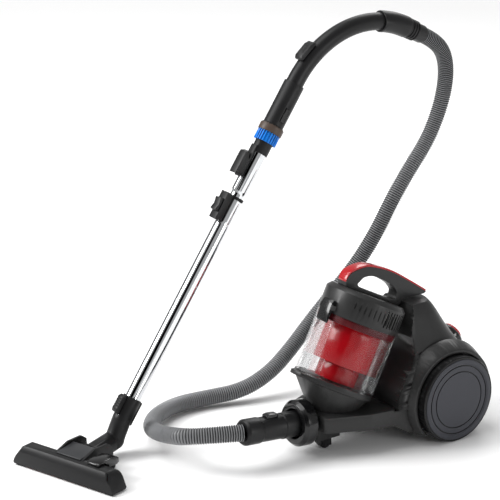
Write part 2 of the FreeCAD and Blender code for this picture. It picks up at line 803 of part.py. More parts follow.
def bin_lid():
    """Lid with side vent slots, lugs for the front latch and a hollow for the filter."""
    outer = dim.bin_radius + 1
    wall = dim.lid_wall
    lid = turned(
        [
            (outer - wall, dim.cup_top + 0.2),
            (outer, dim.cup_top + 0.2),
            (outer, dim.lid_top - 9),
            (outer - 8, dim.lid_top),
            (0, dim.lid_top),
            (0, dim.lid_top - wall),
            (outer - 8 - wall * 0.5, dim.lid_top - wall),
            (outer - wall, dim.lid_top - 9 - wall * 0.5),
        ]
    )
    slots = []
    for i in range(9):
        slot = block((60, -1.6, dim.cup_top + 10), (110, 1.6, dim.lid_top - 14))
        slots.append(posed(slot, FreeCAD.Placement(V(), FreeCAD.Rotation(Z_AXIS, 6 * i - 4))))
    lugs = [
        block((sense * 17 - 1.2, -dim.bin_radius - 11, 145), (sense * 17 + 1.2, 1 - dim.bin_radius, 155))
        for sense in (1, -1)
    ]
    pin = rod(1.5, 34, (-17, -dim.bin_radius - 7, 150), along="X")
    node("bin_lid", fuse(cut(lid, *slots), pin, *lugs), BIN)
    inside = dim.bin_radius - dim.cup_wall
    node("lid_seal", ring(inside, inside - 5, dim.cup_top - 14, dim.cup_top), BIN)
    node("bin_filter", rod(inside - 12, 22), frame_at(BIN, (0, 0, dim.cup_top + 24)))


def cyclone():
    """Cyclone cone under its top plate, the shroud around it and the inlet tube below."""
    plate_low = dim.cup_top - 12
    inside = dim.bin_radius - dim.cup_wall - 0.4
    tip, mouth = dim.cyclone_tip_radius, dim.cyclone_top_radius
    cone_body = turned(
        [
            (tip - 2, 64),
            (tip, 64),
            (mouth, plate_low),
            (inside - 8, plate_low),
            (inside - 8, plate_low + 3),
            (mouth - 2, plate_low + 3),
            (mouth - 2, plate_low),
        ]
    )
    node("cyclone_cone", cone_body, BIN)
    shroud = dim.shroud_radius
    basket = turned(
        [
            (21.4, 48),
            (shroud, 48),
            (shroud, plate_low),
            (shroud - 2, plate_low),
            (shroud - 2, 50),
            (21.4, 50),
        ]
    )
    node("cyclone_shroud", basket, BIN)
    tube_low = dim.flap_thick + 0.4
    riser = turned(
        [
            (18.5, tube_low),
            (21, tube_low),
            (21, 42),
            (41, 42),
            (41, 14),
            (43, 14),
            (43, 46),
            (21, 46),
            (21, 60),
            (18.5, 60),
        ]
    )
    node("bin_inlet_tube", riser, BIN)


FLAP_PIVOT_Y = dim.bin_radius + 4.5


def bin_flap():
    """Bottom flap with its pointed front, the duct port and hinge knuckles at the back."""
    disc = rod(dim.bin_radius, dim.flap_thick)
    nose = slab(
        [(-52, -60), (-16, 3 - dim.flap_nose), (0, -dim.flap_nose), (16, 3 - dim.flap_nose), (52, -60)],
        1.0,
        dim.flap_thick - 2,
    )
    knuckle = rod(4, 36, (-18, FLAP_PIVOT_Y, 5.5), along="X")
    web = block((-18, dim.bin_radius - 6, 3), (18, FLAP_PIVOT_Y, 8))
    port = rod(18.5, 40, (0, 0, -10))
    node("bin_flap", cut(fuse(disc, nose, knuckle, web), port), BIN)


def bin_latch():
    """Rocking latch on the front of the lid, hooked over the cup's rim."""
    back = -dim.bin_radius - 4
    plate = side([(back, 118), (back - 6, 120), (back - 7, 158), (back - 4, 165), (back, 165)], 15)
    bore = rod(1.5 + dim.running_gap, 60, (-30, -dim.bin_radius - 7, 150), along="X")
    node("bin_latch", cut(plate, bore), BIN)


HANDLE_TOP = [(-197, 350), (-190, 361), (-178, 367.5), (-156, 371), (-132, 368.5), (-82, 349), (-32, 318), (11, 289)]


def carry_handle():
    """Loop handle that stands on the lid and reaches back over the rear shell."""
    thick = plain(dim.trim_thick)
    lid = plain(dim.lid_top) + 0.1
    ridge = [(float(y), z - thick) for y, z in HANDLE_TOP]
    body_points = (
        [(-197.0, slope(-197, lid))]
        + ridge
        + [(6.0, 281.5), (-40.0, 281.5), (-52.0, 279.0), (-58.0, 273.5), (-66.0, slope(-66, lid))]
    )
    frame_body = side(body_points, dim.handle_width / 2)
    hole = side(
        [
            (-166.0, slope(-166, lid) + 9),
            (-161.0, 341.0),
            (-150.0, 345.0),
            (-124.0, 344.0),
            (-84.0, 321.0),
            (-66.0, 305.0),
            (-64.0, 296.0),
            (-72.0, slope(-72, lid) + 8),
        ],
        60,
    )
    node("carry_handle", cut(frame_body, hole), CANISTER)
    under = [(y, z - thick) for y, z in reversed(HANDLE_TOP)]
    strip = side([(float(y), float(z)) for y, z in HANDLE_TOP + under], dim.handle_width / 2 - 1)
    node("handle_trim", strip, CANISTER)


# ---------------------------------------------------------------- hose and its cuffs
def annulus(outer, inner, centre, direction):
    """Flat ring, the cross-section of a tube."""
    disc = Part.Face(Part.Wire(Part.makeCircle(plain(outer), centre, direction)))
    bore = Part.Face(Part.Wire(Part.makeCircle(plain(inner), centre, direction)))
    return disc.cut(bore).Faces[0]


def hose_cuff():
    """Cuff that turns in the socket, with a sprung latch button on top."""
    bore = dim.hose_radius - dim.hose_wall
    radius = dim.cuff_radius
    cuff = turned(
        [
            (bore, -14),
            (dim.spigot_radius - 1.5, -14),
            (dim.spigot_radius, -12),
            (dim.spigot_radius, 10.5),
            (radius, 10.5),
            (radius, 62),
            (radius - 1.5, 64),
            (radius - 1.5, 118),
            (radius, 120),
            (radius, dim.cuff_length - 4),
            (radius - 3, dim.cuff_length),
            (bore, dim.cuff_length),
        ]
    )
    well = block((-8.4, 19, 75.6), (8.4, 40, 104.4))
    node("hose_cuff", cut(cuff, well), SOCKET)
    button = side([(22, 76), (30, 76), (31, 84), (31, 96), (29, 104), (22, 104)], 8)
    node("cuff_button", button, SOCKET)


HOSE_ROUTE = [
    (-38, -540, 81),
    (-104, -550, 66),
    (-174, -534, 47),
    (-236, -502, 30),
    (-290, -452, 22),
    (-318, -384, 20),
    (-310, -308, 20),
    (-288, -236, 26),
    (-283, -167, 52),
    (-293, -102, 92),
    (-300, -42, 142),
    (-294, 15, 198),
    (-274, 62, 260),
    (-254, 96, 328),
    (-243, 128, 398),
    (-240, 172, 460),
    (-238, 220, 518),
    (-233, 248, 586),
    (-225, 256, 650),
    (-213, 240, 706),
]


def hose():
    """Corrugated hose as a plain tube of straight runs and tangent arcs."""
    start = SOCKET_LOCAL.multVec(V(0, 0, plain(dim.cuff_length)))
    end = CANISTER.inverse().multVec(hose_end())
    lead_in = CANISTER.inverse().multVec(RING.multVec(V(0, 0, plain(dim.ring_length) + 42)))
    lead_out = SOCKET_LOCAL.multVec(V(0, 0, plain(dim.cuff_length) + 57))
    points = [start, lead_out] + [V(*p) for p in HOSE_ROUTE] + [lead_in, end]
    edges = []
    last = points[0]
    for i in range(1, len(points) - 1):
        before = (points[i] - points[i - 1])
        after = (points[i + 1] - points[i])
        turn = before.getAngle(after)
        reach = 0.45 * min(before.Length, after.Length)
        radius = reach / math.tan(turn / 2)
        print(f"hose point {i}: turn {math.degrees(turn):.1f} deg, radius {radius:.0f} mm")
        a = points[i] - before.normalize() * reach
        b = points[i] + after.normalize() * reach
        toward = (a + b) * 0.5 - points[i]
        middle = points[i] + toward.normalize() * (radius / math.cos(turn / 2) - radius)
        edges.append(Part.LineSegment(last, a).toShape())
        edges.append(Part.Arc(a, middle, b).toShape())
        last = b
    edges.append(Part.LineSegment(last, points[-1]).toShape())
    path = Part.Wire(edges)
    heading = (points[1] - points[0]).normalize()
    section = annulus(dim.hose_radius, dim.hose_radius - dim.hose_wall, points[0], heading)
    tube = path.makePipe(section)
    expected = section.Area * path.Length
    print(f"hose length {path.Length:.0f} mm, volume {tube.Volume:.0f}, section x length {expected:.0f} mm3")
    node("hose", solid_of(tube), CANISTER)


# ---------------------------------------------------------------- grip
END_ANGLE = dim.grip_turn + dim.end_turn


def bend_frame(degrees):
    """Frame on the centre line of the grip's bend, Z along it."""
    turn = math.radians(degrees)
    radius = plain(dim.grip_bend)
    spot = V(0, radius - radius * math.cos(turn), plain(dim.grip_start) + radius * math.sin(turn))
    return WAND.multiply(FreeCAD.Placement(spot, FreeCAD.Rotation(X_AXIS, -degrees)))


RING = bend_frame(plain(END_ANGLE))


def hose_end():
    """Centre of the swivel ring's outer face, where the hose begins."""
    return RING.multVec(V(0, 0, plain(dim.ring_length)))


def bent_tube(outer, inner, from_angle, to_angle):
    """Stretch of tube along the grip's bend, in the wand frame."""
    centre = V(0, plain(dim.grip_bend), plain(dim.grip_start))
    face = annulus(outer, inner, V(0, 0, plain(dim.grip_start)), Z_AXIS)
    face.rotate(centre, X_AXIS, -from_angle)
    return face.revolve(centre, V(-1, 0, 0), to_angle - from_angle)


def grip():
    """Grip tube from the wand spigot through the bend, and the cuff at its end."""
    low, top = plain(dim.spigot_foot), plain(dim.inner_head) + 1
    start = plain(dim.grip_start)
    straight = Part.makeCylinder(plain(GRIP_RADIUS), start - low, V(0, 0, low))
    straight = straight.cut(Part.makeCylinder(plain(dim.tube_radius) + 0.1, top - low, V(0, 0, low)))
    straight = straight.cut(Part.makeCylinder(plain(dim.grip_bore), start - low, V(0, 0, low)))
    bend = bent_tube(GRIP_RADIUS, dim.grip_bore, 0, plain(dim.grip_turn))
    tongue = Part.makeBox(16, 4, 70, V(-8, -plain(dim.tube_radius) - 4.5, 592))
    neck_clear = Part.makeCylinder(plain(dim.tube_radius) + 0.5, 60, V(0, 0, 592))
    spigot = straight.fuse(bend).fuse(tongue.cut(neck_clear))
    node("grip_tube", solid_of(spigot.removeSplitter()), WAND)
    turn, end = plain(dim.grip_turn), plain(END_ANGLE)
    sleeve = bent_tube(dim.end_radius, GRIP_RADIUS + 0.1, turn - 4, turn + 0.5)
    nose = bent_tube(dim.end_radius, dim.hose_radius - dim.hose_wall, turn + 0.5, end)
    node("grip_end_cuff", solid_of(sleeve.fuse(nose)), WAND)


def vent_slider():
    """Air bleed slider on the outer side of the bend."""
    frame = bend_frame(15)
    face = -GRIP_RADIUS - dim.fit_gap
    body = side([(face, -24), (face, 22), (face - 5, 22), (face - 9, 12), (face - 9, -18), (face - 5, -24)], 11)
    node("vent_slider", body, frame)


def brush_sleeve():
    """Sliding sleeve with its flared brush ring, a well for the button, and the bristle ring."""
    inner = GRIP_RADIUS + dim.fit_gap
    sleeve = turned(
        [
            (inner, dim.sleeve_foot),
            (25.5, dim.sleeve_foot),
            (25.5, dim.sleeve_foot + 14),
            (SLEEVE_RADIUS, dim.sleeve_foot + 18),
            (SLEEVE_RADIUS, dim.sleeve_head),
            (inner, dim.sleeve_head),
        ]
    )
    well = block((15, -6.4, 724.6), (30, 6.4, 755.4))
    node("brush_sleeve", cut(sleeve, well), WAND)
    button = block((GRIP_RADIUS + 1.6, -6, 725), (SLEEVE_RADIUS + 2, 6, 755))
    node("brush_button", posed(button, LEVEL), WAND)
    node("dusting_bristles", ring(24.5, GRIP_RADIUS + dim.fit_gap, dim.sleeve_foot - 22, dim.sleeve_foot), WAND)


def swivel_ring():
    """Ribbed ring that turns in the end cuff and holds the hose."""
    bore = dim.hose_radius - dim.hose_wall
    points = [(bore - 2.5, -9), (bore - 0.4, -9), (bore - 0.4, 0.4)]
    for i in range(4):
        low = 0.4 + 7 * i
        points += [(21.5, low), (21.5, low + 4), (19, low + 5), (19, low + 7)]
    points += [(19, dim.ring_length - 3), (18, dim.ring_length), (bore - 2.5, dim.ring_length)]
    node("swivel_ring", turned(points), RING)


# ---------------------------------------------------------------- wand tubes
def wand_tubes():
    """Outer tube below, inner tube above it, both thin polished steel."""
    r, wall = dim.tube_radius, dim.tube_wall
    throat = dim.inner_radius + 0.5
    outer = turned(
        [
            (r - wall, dim.tube_foot),
            (r, dim.tube_foot),
            (r, dim.tube_swage),
            (throat + wall, dim.tube_swage + 8),
            (throat + wall, dim.joint_ring - 1),
            (throat, dim.joint_ring - 1),
            (throat, dim.tube_swage + 8.6),
            (r - wall, dim.tube_swage),
        ]
    )
    node("lower_tube", outer, WAND)
    thin = dim.inner_radius
    inner = turned(
        [
            (thin - wall, dim.inner_foot),
            (thin, dim.inner_foot),
            (thin, dim.inner_flare - 8),
            (r, dim.inner_flare),
            (r, dim.inner_head),
            (r - wall, dim.inner_head),
            (r - wall, dim.inner_flare + 0.4),
            (thin - wall, dim.inner_flare - 7.6),
        ]
    )
    node("upper_tube", inner, WAND)
    back = -r - 6
    latch = side(
        [
            (back, 590),
            (back - 15, 590),
            (back - 19, 594),
            (back - 19, 622),
            (back - 15, 640),
            (back - 7, 644),
            (back - 6, 636),
            (back - 2, 630),
            (back, 630),
        ],
        10,
    )
    node("wand_latch", latch, WAND)


def telescope_lock():
    """Ring and housing at the top of the outer tube, and the slider that frees the wand."""
    throat = dim.inner_radius + 1.5
    band = ring(dim.tube_radius + 1.5, dim.inner_radius + 0.1, dim.joint_ring - 0.9, dim.joint_ring + 6)
    grip_band = ring(dim.tube_radius + 1.2, throat + 0.1, dim.tube_swage + 20, dim.joint_ring - 0.9)
    box = block((-11, -31, dim.tube_swage + 4), (11, 1 - dim.tube_radius, dim.joint_ring + 6))
    clear = rod(dim.tube_radius + 0.2, 300, (0, 0, 400))
    node("telescope_collar", fuse(band, grip_band, cut(box, clear)), WAND)
    slider = side([(-31.4, 506), (-40, 508), (-37, 520), (-40, 534), (-31.4, 536)], 9)
    node("telescope_slider", slider, WAND)


# ---------------------------------------------------------------- floor head
ELBOW_IN_WAND = WAND.inverse().multiply(ELBOW)
SEAM = plain(dim.swivel_reach) / math.cos(math.radians(plain(dim.swivel_tilt)))


def neck_pipe():
    """Bent neck between the swivel joint and the wand, with a rear parking tab."""
    bend = ELBOW_IN_WAND.multVec(V(0, SEAM + plain(dim.neck_bend), 0))
    along = ELBOW_IN_WAND.Rotation.multVec(Y_AXIS)
    radius, fat = plain(NECK_RADIUS), plain(dim.elbow_radius)
    shaft_base = V(bend.x, bend.y, bend.z)
    lean = V(-shaft_base.x, -shaft_base.y, 52 - shaft_base.z)
    outer = Part.makeSphere(fat, bend).fuse(Part.makeCylinder(fat, 14, bend - along * 14, along))
    outer = outer.fuse(Part.makeCylinder(radius, lean.Length, bend, lean))
    outer = outer.fuse(Part.makeSphere(radius, V(0, 0, 52)))
    outer = outer.fuse(Part.makeCylinder(radius, plain(dim.neck_top) - 52, V(0, 0, 52)))
    tab = Part.makeBox(9, 8, 50, V(-4.5, radius - 2, 48))
    outer = outer.fuse(tab)
    half_space = Part.makeBox(200, 200, 200, V(-100, 0, -100))
    cap = ELBOW_IN_WAND.multiply(FreeCAD.Placement(V(0, SEAM + 0.4, 0), FreeCAD.Rotation()))
    half_space.Placement = cap
    outer = outer.common(half_space)
    bore = Part.makeSphere(15, bend).fuse(Part.makeCylinder(15, 40, bend - along * 40, along))
    bore = bore.fuse(Part.makeCylinder(14.5, lean.Length, bend, lean)).fuse(Part.makeSphere(14.5, V(0, 0, 52)))
    seat = Part.makeCylinder(plain(dim.tube_radius) + 0.1, 200, V(0, 0, plain(dim.tube_foot)))
    low_bore = Part.makeCylinder(14.5, 10, V(0, 0, 51))
    well = Part.makeBox(16.8, 12, 40.8, V(-8.4, -radius - 8, 57.6))
    shape = outer.cut(bore).cut(seat).cut(low_bore).cut(well)
    node("neck_pipe", solid_of(shape.removeSplitter()), WAND)
    back = -dim.tube_radius - 2.2
    face = back - 11
    button = side([(back, 58), (face + 2, 60), (face, 66), (face, 92), (face + 5, 98), (back, 98)], 8)
    node("neck_button", button, WAND)


def elbow_pipe():
    """Pivot drum between the head's cheeks, with the pipe that the neck swivels on."""
    drum = rod(dim.drum_radius, dim.drum_half * 2, (-dim.drum_half, 0, 0), along="X")
    pins = rod(4, dim.drum_half * 2 + 10, (-dim.drum_half - 5, 0, 0), along="X")
    pipe = rod(dim.elbow_radius, SEAM, (0, 0, 0), along="Y")
    bore = rod(15, SEAM + 10, (0, 0, 0), along="Y")
    mouth = block((-15, -40, -10), (15, 2, 10))
    node("elbow_pipe", cut(fuse(drum, pins, pipe), bore, mouth), ELBOW)


CHEEK = dim.drum_half + 2.5


def head_shell():
    """Long low housing with two cheeks that hold the pivot drum, and the duct between them."""
    front, rear, top, low = -dim.head_front, -dim.head_rear, dim.head_height, dim.head_low
    wall = dim.head_wall
    outer = side(
        [(front, low), (front + 1, top - 11), (front + 8, top), (rear - 10, top), (rear, top - 6), (rear, low)],
        dim.head_half,
    )
    rounded(outer, 9, lambda e: not is_across(e) and min(v.Z for v in e.Vertexes) > plain(low) + 5)
    inner = side(
        [
            (front + wall, low - 10),
            (front + wall, top - 12),
            (front + 9, top - wall),
            (rear - 11, top - wall),
            (rear - wall, top - 7),
            (rear - wall, low - 10),
        ],
        dim.head_half - wall,
    )
    mouth = block((-26, rear - 20, 12), (26, rear + 10, top - 8))
    cheeks = []
    for sense in (1, -1):
        cheek = side(
            [(-72, 41), (-28, 55), (10, 54), (24, 44), (27, 12), (20, 5), (-44, 7), (-44, 41)], 2.5
        )
        cheek.Placement = FreeCAD.Placement(V(sense * (plain(CHEEK) + 2.5), 0, 0), FreeCAD.Rotation())
        cheeks.append(cheek)
    channel = block((-CHEEK - 1, rear - 1, 7), (CHEEK + 1, rear + 26, top - 2))
    channel_bore = block((-26, rear - 5, 10), (26, rear + 30, top - 6))
    drum_clear = rod(dim.elbow_radius + 0.8, CHEEK * 2, (-CHEEK, 0, dim.pivot_height), along="X")
    pin_holes = rod(4 + dim.running_gap, 200, (-100, 0, dim.pivot_height), along="X")
    wheel_pins = rod(2, 96, (-48, 14, 7), along="X")
    gap = block((-CHEEK, rear + 27, 0), (CHEEK, 60, 16))
    base = cut(outer, inner, mouth)
    body = cut(fuse(base, *cheeks, channel, cut(wheel_pins, gap)), channel_bore, drum_clear, pin_holes)
    node("head_shell", body, HEAD)


def head_base():
    """Sole plate with the suction mouth, brush slots and two runners on the floor."""
    inset = dim.head_wall + 0.3
    low, high = dim.head_low - 3, dim.head_low
    plate = block(
        (inset - dim.head_half - 2, -dim.head_front + 1, low), (dim.head_half - inset + 2, -dim.head_rear - 1, high - 0.1)
    )
    mouth = block((-82, -72, 0), (82, -58, 20))
    slots = [block((-104, y - 2.6, 0), (104, y + 2.6, 20)) for y in (-79.5, -50.5)]
    runners = [
        block((sense * 116 - 8, -dim.head_front + 3, 0), (sense * 116 + 8, -dim.head_rear - 3, low + 0.5))
        for sense in (1, -1)
    ]
    node("head_base", fuse(cut(plate, mouth, *slots), *runners), HEAD)


def head_fittings():
    """Sloping panel between the cheeks, foot pedal, lowering brush strips and rear rollers."""
    panel = side([(-66, 43.2), (-16, 48.6), (-16, 51), (-66, 45.6)], CHEEK - 0.4)
    node("head_panel", panel, HEAD)
    pedal = side(
        [
            (-70, 44),
            (-69, 48),
            (-60, 50.5),
            (-24, 50),
            (-10, 45),
            (-9, 35),
            (-15, 32),
            (-38, 33),
            (-40, 40),
            (-50, 46),
            (-60, 46),
        ],
        16,
    )
    node("head_pedal", pedal, frame_at(HEAD, (66, 0, 0)))
    strips = [block((-103.5, y - 2.2, 3.6), (103.5, y + 2.2, 17)) for y in (-79.5, -50.5)]
    spine = block((-98, -79.5, 15), (-90, -50.5, 17))
    spine_right = block((90, -79.5, 15), (98, -50.5, 17))
    node("brush_strips", fuse(*strips, spine, spine_right), HEAD)
    rollers = []
    for sense in (1, -1):
        rollers.append(ring(7, 2 + dim.running_gap, sense * 42.5 - 3.5, sense * 42.5 + 3.5))
    wheels = fuse(*rollers)
    node("head_wheels", wheels, frame_at(HEAD, (0, 14, 7), Y_AXIS, 90))


def build():
    """Makes every sub-part, checks it and writes its STEP file."""
    lower_chassis()
    front_deck()
    rear_shell()
    wheel_arch("wheel_arch_left", 1)
    wheel_arch("wheel_arch_right", -1)
    wheel_axles()
    rear_wheel("left", 1)
    rear_wheel("right", -1)
    caster()
    hose_socket()
    inlet_duct()
    motor()
    cord_reel()
    exhaust()
    controls()
    dust_cup()
    bin_lid()
    cyclone()
    bin_flap()
    bin_latch()
    carry_handle()
    hose_cuff()
    hose()
    grip()
    vent_slider()
    brush_sleeve()
    swivel_ring()
    wand_tubes()
    telescope_lock()
    neck_pipe()
    elbow_pipe()
    head_shell()
    head_base()
    head_fittings()
    doc.recompute()

    faults = []
    for item in doc.Objects:
        if "Invalid" in item.State or "Error" in item.State:
            faults.append(f"{item.Name} ({item.Label}): {item.State}")
    for label, item in NODES.items():
        if item.Shape.isNull() or not item.Shape.isValid() or not item.Shape.Solids:
            faults.append(f"{label}: no valid solid")
    if faults:
        raise RuntimeError("\n".join(faults))
    os.makedirs("parts", exist_ok=True)
    for label, item in NODES.items():
        item.Shape.exportStep(f"parts/{label}.step")
    print(f"{len(NODES)} sub-parts written")


build()
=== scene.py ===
"""Canister vacuum cleaner: clear cyclone bin, ribbed hose, curved grip, chromed wand, floor head.

Metres, +Z up, -Y is the way the canister is pulled. Each section is one piece or one group of pieces.
"""

import json
import math

import bpy
from mathutils import Matrix, Vector


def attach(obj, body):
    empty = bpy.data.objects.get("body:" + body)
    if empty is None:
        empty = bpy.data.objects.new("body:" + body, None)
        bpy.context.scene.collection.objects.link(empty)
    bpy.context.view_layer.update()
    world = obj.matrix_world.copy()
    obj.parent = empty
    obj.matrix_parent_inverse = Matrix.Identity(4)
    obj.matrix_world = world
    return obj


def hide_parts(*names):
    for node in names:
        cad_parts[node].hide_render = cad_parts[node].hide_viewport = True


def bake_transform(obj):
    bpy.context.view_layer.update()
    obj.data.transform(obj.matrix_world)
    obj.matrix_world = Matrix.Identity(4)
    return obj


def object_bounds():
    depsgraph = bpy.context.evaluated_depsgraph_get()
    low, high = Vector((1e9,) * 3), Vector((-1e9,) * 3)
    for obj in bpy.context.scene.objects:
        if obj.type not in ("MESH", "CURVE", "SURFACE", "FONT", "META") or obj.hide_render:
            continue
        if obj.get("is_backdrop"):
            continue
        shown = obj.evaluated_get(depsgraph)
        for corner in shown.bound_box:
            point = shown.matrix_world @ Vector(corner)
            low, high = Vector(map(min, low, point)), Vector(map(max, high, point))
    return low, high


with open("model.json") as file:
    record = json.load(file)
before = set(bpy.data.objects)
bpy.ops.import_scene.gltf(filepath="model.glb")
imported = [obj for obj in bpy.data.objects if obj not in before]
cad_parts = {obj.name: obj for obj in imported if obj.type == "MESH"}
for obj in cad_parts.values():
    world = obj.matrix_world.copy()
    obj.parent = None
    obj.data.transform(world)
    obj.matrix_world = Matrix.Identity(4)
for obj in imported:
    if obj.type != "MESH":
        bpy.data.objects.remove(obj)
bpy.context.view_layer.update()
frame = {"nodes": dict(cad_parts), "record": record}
MM = 0.001


# --- Floor, light and camera --------------------------------------------------------------
# A white studio floor that runs out of sight, lit by two soft boxes and a bright room.
# The room is dark behind the camera, which puts the dark stripe in the polished tubes.
def colour(code, alpha=1.0):
    """Linear colour of an sRGB hex value."""
    shares = [int(code[i : i + 2], 16) / 255 for i in (1, 3, 5)]
    linear = [c / 12.92 if c <= 0.04045 else ((c + 0.055) / 1.055) ** 2.4 for c in shares]
    return (*linear, alpha)


def add(tree, kind, inputs=None, **settings):
    """Adds one shader node: its settings, and a value or another node's output for each socket."""
    node = tree.nodes.new("ShaderNode" + kind)
    for name, value in settings.items():
        setattr(node, name, value)
    for socket, value in (inputs or {}).items():
        if isinstance(value, bpy.types.NodeSocket):
            tree.links.new(value, node.inputs[socket])
        else:
            node.inputs[socket].default_value = value
    return node


def deselect():
    if bpy.context.object and bpy.context.object.mode != "OBJECT":
        bpy.ops.object.mode_set(mode="OBJECT")
    bpy.ops.object.select_all(action="DESELECT")


def only(piece):
    """Selects one piece and makes it the active one."""
    deselect()
    piece.select_set(True)
    bpy.context.view_layer.objects.active = piece


def mixed(tree, factor, first, second):
    """A colour between two sRGB hex values, by another node's output."""
    blend = add(tree, "Mix", {"Factor": factor}, data_type="RGBA")
    # the Mix node has one socket of each name for every data type, so the colours go by index
    blend.inputs[6].default_value = colour(first)
    blend.inputs[7].default_value = colour(second)
    return blend.outputs[2]


def spot(x, y, z, turn=0.0, axis="X"):
    """A place in millimetres, turned about one axis by degrees."""
    return Matrix.Translation(Vector((x, y, z)) * MM) @ Matrix.Rotation(math.radians(turn), 4, axis)


bpy.context.scene.view_settings.view_transform = "Standard"
CAMERA_PLACE = (3.0253, -2.2110, 1.6268)
CAMERA_AZIMUTH = 54.5
CAMERA_ELEVATION = 18.0
deselect()
bpy.ops.object.camera_add(
    location=CAMERA_PLACE,
    rotation=(math.radians(90 - CAMERA_ELEVATION), 0, math.radians(CAMERA_AZIMUTH)),
)
camera = bpy.context.object
camera.data.lens = 144
camera.data.sensor_width = 36
camera.data.clip_end = 60
bpy.context.scene.camera = camera

deselect()
bpy.ops.mesh.primitive_plane_add(size=40, location=(0, 0, 0))
floor = bpy.context.object
floor.name = "studio_floor"
paint = bpy.data.materials.new("matt_white_studio_paint")
paint.use_nodes = True
shader = paint.node_tree.nodes["Principled BSDF"]
grain = add(paint.node_tree, "TexNoise", {"Scale": 3.0})
tone = mixed(paint.node_tree, grain.outputs["Fac"], "#f8f8f8", "#fafafa")
paint.node_tree.links.new(tone, shader.inputs["Base Color"])
shader.inputs["Roughness"].default_value = 0.9
floor.data.materials.append(paint)
floor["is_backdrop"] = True

ROOM_LIGHT = 0.45
world = bpy.data.worlds.new("bright_room")
bpy.context.scene.world = world
world.use_nodes = True
room = world.node_tree
where = add(room, "TexCoord")
# two black flags: one beside the camera, one far off on the left, each gives the tubes a dark line
FLAGS = (((0.466, -0.758, 0.454), 0.955, 0.92), ((-0.998, 0.011, 0.042), 0.965, 0.94))
strength = ROOM_LIGHT
for flag, inner, outer in FLAGS:
    facing = add(room, "VectorMath", {0: where.outputs["Generated"], 1: flag}, operation="DOT_PRODUCT")
    shade = add(
        room,
        "MapRange",
        {
            "Value": facing.outputs["Value"],
            "From Min": outer,
            "From Max": inner,
            "To Min": 1.0,
            "To Max": 0.0,
        },
    )
    product = add(room, "Math", {0: shade.outputs["Result"], 1: strength}, operation="MULTIPLY")
    strength = product.outputs["Value"]
backdrop = room.nodes["Background"]
backdrop.inputs["Color"].default_value = colour("#ffffff")
room.links.new(strength, backdrop.inputs["Strength"])

for name, place, aim, size, power in (
    ("key_box", (-1.7, -2.7, 2.3), (0, 0, 0.3), 1.4, 95),
    ("side_box", (2.9, 0.9, 0.9), (0.1, 0.1, 0.2), 0.8, 20),
    ("back_box", (-1.8, 2.4, 2.4), (0, 0, 0.4), 1.6, 30),
):
    deselect()
    bpy.ops.object.light_add(type="AREA", location=place)
    lamp = bpy.context.object
    lamp.name = name
    lamp.data.size = size
    lamp.data.energy = power
    lamp.rotation_euler = (Vector(aim) - Vector(place)).to_track_quat("-Z", "Y").to_euler()


deselect()
bpy.ops.object.light_add(
    type="SUN", location=(-1, -1, 4), rotation=(math.radians(18), math.radians(-20), 0)
)
ceiling = bpy.context.object
ceiling.name = "ceiling_diffuser"
ceiling.data.energy = 1.9
ceiling.data.angle = math.radians(50)


# --- Suction hose -------------------------------------------------------------------------
# Spiral-ribbed EVA hose, 34 mm outside, satin silver grey. It is pushed over the cuff on the
# canister, lies on the floor, and climbs to the ring at the end of the grip.
HOSE_ROUTE = [
    (0.08080, -0.12891, 0.07921),
    (0.04280, -0.22950, 0.08100),
    (-0.02320, -0.23950, 0.06600),
    (-0.09320, -0.22350, 0.04700),
    (-0.15520, -0.19150, 0.03000),
    (-0.20920, -0.14150, 0.02200),
    (-0.23720, -0.07350, 0.02000),
    (-0.22920, 0.00250, 0.02000),
    (-0.20720, 0.07450, 0.02600),
    (-0.20220, 0.14350, 0.05200),
    (-0.21220, 0.20850, 0.09200),
    (-0.21920, 0.26850, 0.14200),
    (-0.21320, 0.32550, 0.19800),
    (-0.19320, 0.37250, 0.26000),
    (-0.17320, 0.40650, 0.32800),
    (-0.16220, 0.43850, 0.39800),
    (-0.15920, 0.48250, 0.46000),
    (-0.15720, 0.53050, 0.51800),
    (-0.15220, 0.55850, 0.58600),
    (-0.14420, 0.56650, 0.65000),
    (-0.13220, 0.55050, 0.70600),
    (-0.12564, 0.51690, 0.74271),
    (-0.12564, 0.47899, 0.76079),
]
HOSE_RADIUS = 17 * MM
RIB_DEPTH = 1.9 * MM
RIB_PITCH = 4.8 * MM  # real ribs are about 3 mm apart, drawn coarser so that they show
HOSE_SIDES = 28


def placed(name, data):
    """A new object in the scene for a mesh or a curve."""
    piece = bpy.data.objects.new(name, data)
    bpy.context.scene.collection.objects.link(piece)
    return piece


def meshed(name, curve):
    """The mesh that a curve stands for."""
    holder = placed(name, curve)
    bpy.context.view_layer.update()
    mesh = bpy.data.meshes.new_from_object(holder)
    bpy.data.objects.remove(holder)
    return mesh


def smooth_route(name, points):
    """Points of the smooth line that runs along a route."""
    curve = bpy.data.curves.new(name, "CURVE")
    curve.dimensions = "3D"
    spline = curve.splines.new("NURBS")
    spline.points.add(len(points) - 1)
    for knot, place in zip(spline.points, points):
        knot.co = (*place, 1)
    spline.order_u = 3
    spline.use_endpoint_u = True
    spline.resolution_u = 48
    line = meshed(name, curve)
    path = [v.co.copy() for v in line.vertices]
    bpy.data.meshes.remove(line)
    return path


def even_steps(path, step):
    """Places at even spacing along a smooth line, with the line's direction at each."""
    lengths = [0.0]
    for a, b in zip(path, path[1:]):
        lengths.append(lengths[-1] + (b - a).length)
    count = round(lengths[-1] / step)
    places = []
    k = 0
    for i in range(count + 1):
        along = lengths[-1] * i / count
        while k < len(path) - 2 and lengths[k + 1] < along:
            k += 1
        run = path[k + 1] - path[k]
        share = (along - lengths[k]) / max(run.length, 1e-9)
        places.append((path[k].lerp(path[k + 1], share), run.normalized()))
    return places


def made_of(name, points, faces):
    """A new mesh object from points and faces."""
    mesh = bpy.data.meshes.new(name)
    mesh.from_pydata([tuple(p) for p in points], [], faces)
    mesh.update()
    return placed(name, mesh)


